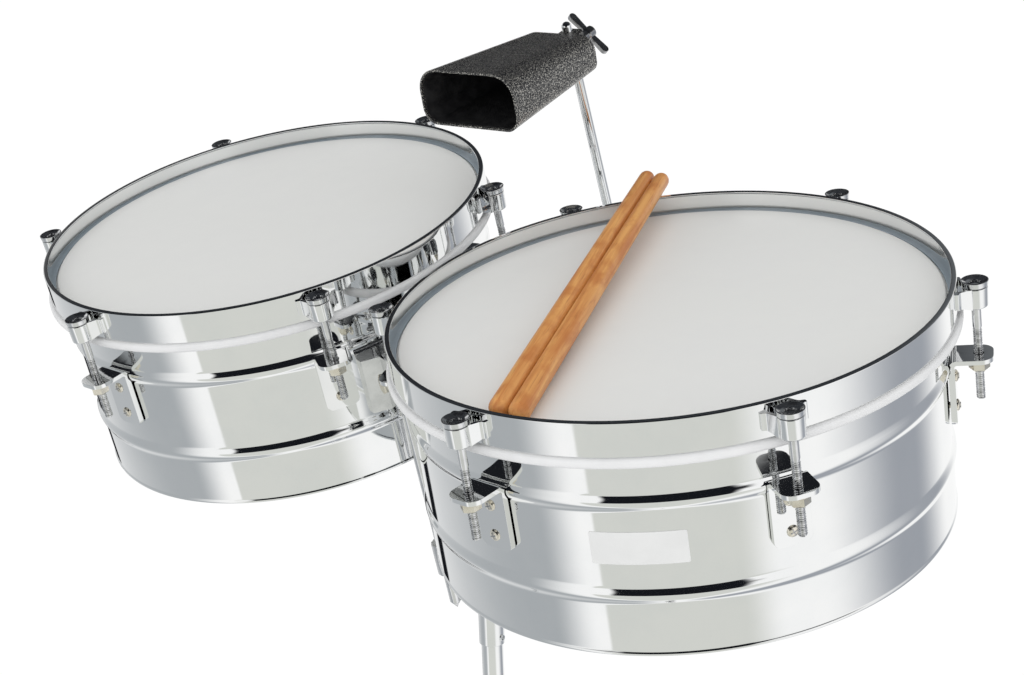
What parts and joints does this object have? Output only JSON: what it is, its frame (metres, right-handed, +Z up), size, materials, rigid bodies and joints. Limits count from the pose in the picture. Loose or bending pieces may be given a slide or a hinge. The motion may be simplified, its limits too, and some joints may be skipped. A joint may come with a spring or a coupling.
{
  "type": "timbales",
  "caption": "Pair of shallow metal-shelled single-headed drums, one larger, hung on a tilting tripod stand with a cowbell on a bent arm and loose sticks.",
  "frame": {"origin": "middle of the bounding box on the floor", "axes": "+Z up, -Y towards the player, +X towards the large drum"},
  "size_m": [0.7642, 0.5894, 1.0585],
  "materials": {
    "chrome": "polished",
    "steel": "bright plated",
    "nickel": "satin plated",
    "film": "smooth translucent film",
    "bell_paint": "black hammered paint",
    "dark_steel": "dark plated",
    "wood": "lacquered",
    "rubber": "matt"
  },
  "bodies": {
    "stand_base": {"lower_tube": "chrome", "leg_hub": "chrome"},
    "mast": {"upper_tube": "chrome", "head_sleeve": "chrome"},
    "height_bolt": {"height_wing_bolt": "steel"},
    "tilt_bolt": {"tilt_wing_bolt": "steel"},
    "tilter_large": {"tilt_arm_large": "steel"},
    "drum_large": {"shell_large": "chrome", "head_large": "film", "hoop_large": "chrome", "lug_bracket_large_1": "chrome", "lug_bracket_large_2": "chrome", "lug_bracket_large_3": "chrome", "lug_bracket_large_4": "chrome", "lug_bracket_large_5": "chrome", "lug_bracket_large_6": "chrome", "mount_bracket_large": "steel"},
    "key_large": {"key_bolt_large": "nickel"},
    "tuner_large_1": {"tension_rod_large_1": "steel"},
    "tuner_large_2": {"tension_rod_large_2": "steel"},
    "tuner_large_3": {"tension_rod_large_3": "steel"},
    "tuner_large_4": {"tension_rod_large_4": "steel"},
    "tuner_large_5": {"tension_rod_large_5": "steel"},
    "tuner_large_6": {"tension_rod_large_6": "steel"},
    "tilter_small": {"tilt_arm_small": "steel"},
    "drum_small": {"shell_small": "chrome", "head_small": "film", "hoop_small": "chrome", "lug_bracket_small_1": "chrome", "lug_bracket_small_2": "chrome", "lug_bracket_small_3": "chrome", "lug_bracket_small_4": "chrome", "lug_bracket_small_5": "chrome", "lug_bracket_small_6": "chrome", "mount_bracket_small": "steel"},
    "key_small": {"key_bolt_small": "nickel"},
    "tuner_small_1": {"tension_rod_small_1": "steel"},
    "tuner_small_2": {"tension_rod_small_2": "steel"},
    "tuner_small_3": {"tension_rod_small_3": "steel"},
    "tuner_small_4": {"tension_rod_small_4": "steel"},
    "tuner_small_5": {"tension_rod_small_5": "steel"},
    "tuner_small_6": {"tension_rod_small_6": "steel"},
    "loose_stick_1": {"stick_1": "wood"},
    "loose_stick_2": {"stick_2": "wood"},
    "clamp": {"cowbell_clamp": "steel"},
    "arm_bolt": {"cowbell_arm_bolt": "steel"},
    "bell_arm": {"cowbell_arm": "chrome"},
    "bell": {"cowbell": "bell_paint"},
    "bell_bolt": {"cowbell_wing_bolt": "dark_steel"},
    "limb_1": {"leg_1": "chrome", "foot_1": "rubber"},
    "strut_1": {"brace_1": "chrome"},
    "limb_2": {"leg_2": "chrome", "foot_2": "rubber"},
    "strut_2": {"brace_2": "chrome"},
    "limb_3": {"leg_3": "chrome", "foot_3": "rubber"},
    "strut_3": {"brace_3": "chrome"},
    "collar": {"brace_collar": "chrome"},
    "collar_bolt": {"collar_wing_bolt": "steel"}
  },
  "joints": [
    {"name": "height_slide", "type": "slide", "parent": "stand_base", "child": "mast", "axis": [0, 0, 1], "range_m": [-0.12, 0.1]},
    {"name": "height_bolt_turn", "type": "hinge", "parent": "stand_base", "child": "height_bolt", "pos_m": [-0.01202, -0.04938, 0.4033], "axis": [0, -1, 0], "continuous": true},
    {"name": "tilt_bolt_turn", "type": "hinge", "parent": "mast", "child": "tilt_bolt", "pos_m": [-0.01202, -0.06118, 0.665], "axis": [-1, 0, 0], "continuous": true},
    {"name": "tilt_large", "type": "hinge", "parent": "mast", "child": "tilter_large", "pos_m": [-0.01202, -0.06118, 0.665], "axis": [1, 0, 0], "range_deg": [-25, 15]},
    {"name": "drum_height_large", "type": "slide", "parent": "tilter_large", "child": "drum_large", "axis": [0, -0.1788, 0.9839], "range_m": [-0.018, 0.02]},
    {"name": "key_turn_large", "type": "hinge", "parent": "drum_large", "child": "key_large", "pos_m": [-0.00433, -0.1116, 0.8026], "axis": [0.2098, -0.962, -0.1748], "continuous": true},
    {"name": "tune_large_1", "type": "hinge", "parent": "drum_large", "child": "tuner_large_1", "pos_m": [0.17486, -0.28531, 0.86403], "axis": [0, -0.1788, 0.9839], "continuous": true},
    {"name": "tune_large_2", "type": "hinge", "parent": "drum_large", "child": "tuner_large_2", "pos_m": [0.35608, -0.19796, 0.87991], "axis": [0, -0.1788, 0.9839], "continuous": true},
    {"name": "tune_large_3", "type": "hinge", "parent": "drum_large", "child": "tuner_large_3", "pos_m": [0.3698, 0.00013, 0.9159], "axis": [0, -0.1788, 0.9839], "continuous": true},
    {"name": "tune_large_4", "type": "hinge", "parent": "drum_large", "child": "tuner_large_4", "pos_m": [0.20231, 0.11087, 0.93603], "axis": [0, -0.1788, 0.9839], "continuous": true},
    {"name": "tune_large_5", "type": "hinge", "parent": "drum_large", "child": "tuner_large_5", "pos_m": [0.02108, 0.02352, 0.92016], "axis": [0, -0.1788, 0.9839], "continuous": true},
    {"name": "tune_large_6", "type": "hinge", "parent": "drum_large", "child": "tuner_large_6", "pos_m": [0.00736, -0.17457, 0.88416], "axis": [0, -0.1788, 0.9839], "continuous": true},
    {"name": "tilt_small", "type": "hinge", "parent": "mast", "child": "tilter_small", "pos_m": [-0.01202, -0.06118, 0.665], "axis": [1, 0, 0], "range_deg": [-30, 10]},
    {"name": "drum_height_small", "type": "slide", "parent": "tilter_small", "child": "drum_small", "axis": [0, -0.2516, 0.9678], "range_m": [-0.018, 0.02]},
    {"name": "key_turn_small", "type": "hinge", "parent": "drum_small", "child": "key_small", "pos_m": [-0.02607, -0.12505, 0.81134], "axis": [-0.3252, -0.9152, -0.2379], "continuous": true},
    {"name": "tune_small_1", "type": "hinge", "parent": "drum_small", "child": "tuner_small_1", "pos_m": [-0.20941, -0.27292, 0.86744], "axis": [0, -0.2516, 0.9678], "continuous": true},
    {"name": "tune_small_2", "type": "hinge", "parent": "drum_small", "child": "tuner_small_2", "pos_m": [-0.04134, -0.18861, 0.88936], "axis": [0, -0.2516, 0.9678], "continuous": true},
    {"name": "tune_small_3", "type": "hinge", "parent": "drum_small", "child": "tuner_small_3", "pos_m": [-0.03275, -0.00558, 0.93693], "axis": [0, -0.2516, 0.9678], "continuous": true},
    {"name": "tune_small_4", "type": "hinge", "parent": "drum_small", "child": "tuner_small_4", "pos_m": [-0.19223, 0.09313, 0.96259], "axis": [0, -0.2516, 0.9678], "continuous": true},
    {"name": "tune_small_5", "type": "hinge", "parent": "drum_small", "child": "tuner_small_5", "pos_m": [-0.36029, 0.00881, 0.94067], "axis": [0, -0.2516, 0.9678], "continuous": true},
    {"name": "tune_small_6", "type": "hinge", "parent": "drum_small", "child": "tuner_small_6", "pos_m": [-0.36888, -0.17421, 0.8931], "axis": [0, -0.2516, 0.9678], "continuous": true},
    {"name": "stick_lift_1", "type": "slide", "parent": "drum_large", "child": "loose_stick_1", "axis": [0, -0.1788, 0.9839], "range_m": [0, 0.06]},
    {"name": "stick_lift_2", "type": "slide", "parent": "drum_large", "child": "loose_stick_2", "axis": [0, -0.1788, 0.9839], "range_m": [0, 0.06]},
    {"name": "clamp_swing", "type": "hinge", "parent": "mast", "child": "clamp", "pos_m": [-0.01202, -0.04938, 0.623], "axis": [0, 0, 1], "range_deg": [-15, 15]},
    {"name": "arm_bolt_turn", "type": "hinge", "parent": "clamp", "child": "arm_bolt", "pos_m": [-0.01202, -0.01785, 0.62602], "axis": [1, 0, 0], "continuous": true},
    {"name": "arm_slide", "type": "slide", "parent": "clamp", "child": "bell_arm", "axis": [0, 0.9532, 0.3024], "range_m": [0, 0.012]},
    {"name": "bell_swivel", "type": "hinge", "parent": "bell_arm", "child": "bell", "pos_m": [-0.01202, 0.07035, 1.03588], "axis": [0, -0.3024, 0.9532], "range_deg": [-45, 45]},
    {"name": "bell_bolt_turn", "type": "hinge", "parent": "bell", "child": "bell_bolt", "pos_m": [-0.01202, 0.07035, 1.03588], "axis": [0, 0.9532, 0.3024], "continuous": true},
    {"name": "leg_fold_1", "type": "hinge", "parent": "stand_base", "child": "limb_1", "pos_m": [-0.01202, -0.01938, 0.378], "axis": [-1, 0, 0], "range_deg": [0, 28]},
    {"name": "brace_turn_1", "type": "hinge", "parent": "limb_1", "child": "strut_1", "pos_m": [-0.01202, 0.06765, 0.26834], "axis": [-1, 0, 0], "range_deg": [-56, 0]},
    {"name": "leg_fold_2", "type": "hinge", "parent": "stand_base", "child": "limb_2", "pos_m": [-0.038, -0.06438, 0.378], "axis": [0.5, -0.866, 0], "range_deg": [0, 28]},
    {"name": "brace_turn_2", "type": "hinge", "parent": "limb_2", "child": "strut_2", "pos_m": [-0.11337, -0.1079, 0.26834], "axis": [0.5, -0.866, 0], "range_deg": [-56, 0]},
    {"name": "leg_fold_3", "type": "hinge", "parent": "stand_base", "child": "limb_3", "pos_m": [0.01396, -0.06438, 0.378], "axis": [0.5, 0.866, 0], "range_deg": [0, 28]},
    {"name": "brace_turn_3", "type": "hinge", "parent": "limb_3", "child": "strut_3", "pos_m": [0.08933, -0.1079, 0.26834], "axis": [0.5, 0.866, 0], "range_deg": [-56, 0]},
    {"name": "collar_slide", "type": "slide", "parent": "stand_base", "child": "collar", "axis": [0, 0, 1], "range_m": [-0.0562, 0]},
    {"name": "collar_bolt_turn", "type": "hinge", "parent": "collar", "child": "collar_bolt", "pos_m": [-0.01202, -0.04938, 0.15868], "axis": [0, -1, 0], "continuous": true}
  ],
  "couplings": [
    {"joint": "brace_turn_1", "follows": "leg_fold_1", "ratio": -2},
    {"joint": "leg_fold_2", "follows": "leg_fold_1", "ratio": 1},
    {"joint": "brace_turn_2", "follows": "leg_fold_1", "ratio": -2},
    {"joint": "leg_fold_3", "follows": "leg_fold_1", "ratio": 1},
    {"joint": "brace_turn_3", "follows": "leg_fold_1", "ratio": -2},
    {"joint": "collar_slide", "follows": "leg_fold_1", "m_per_rad": -0.11469}
  ]
}
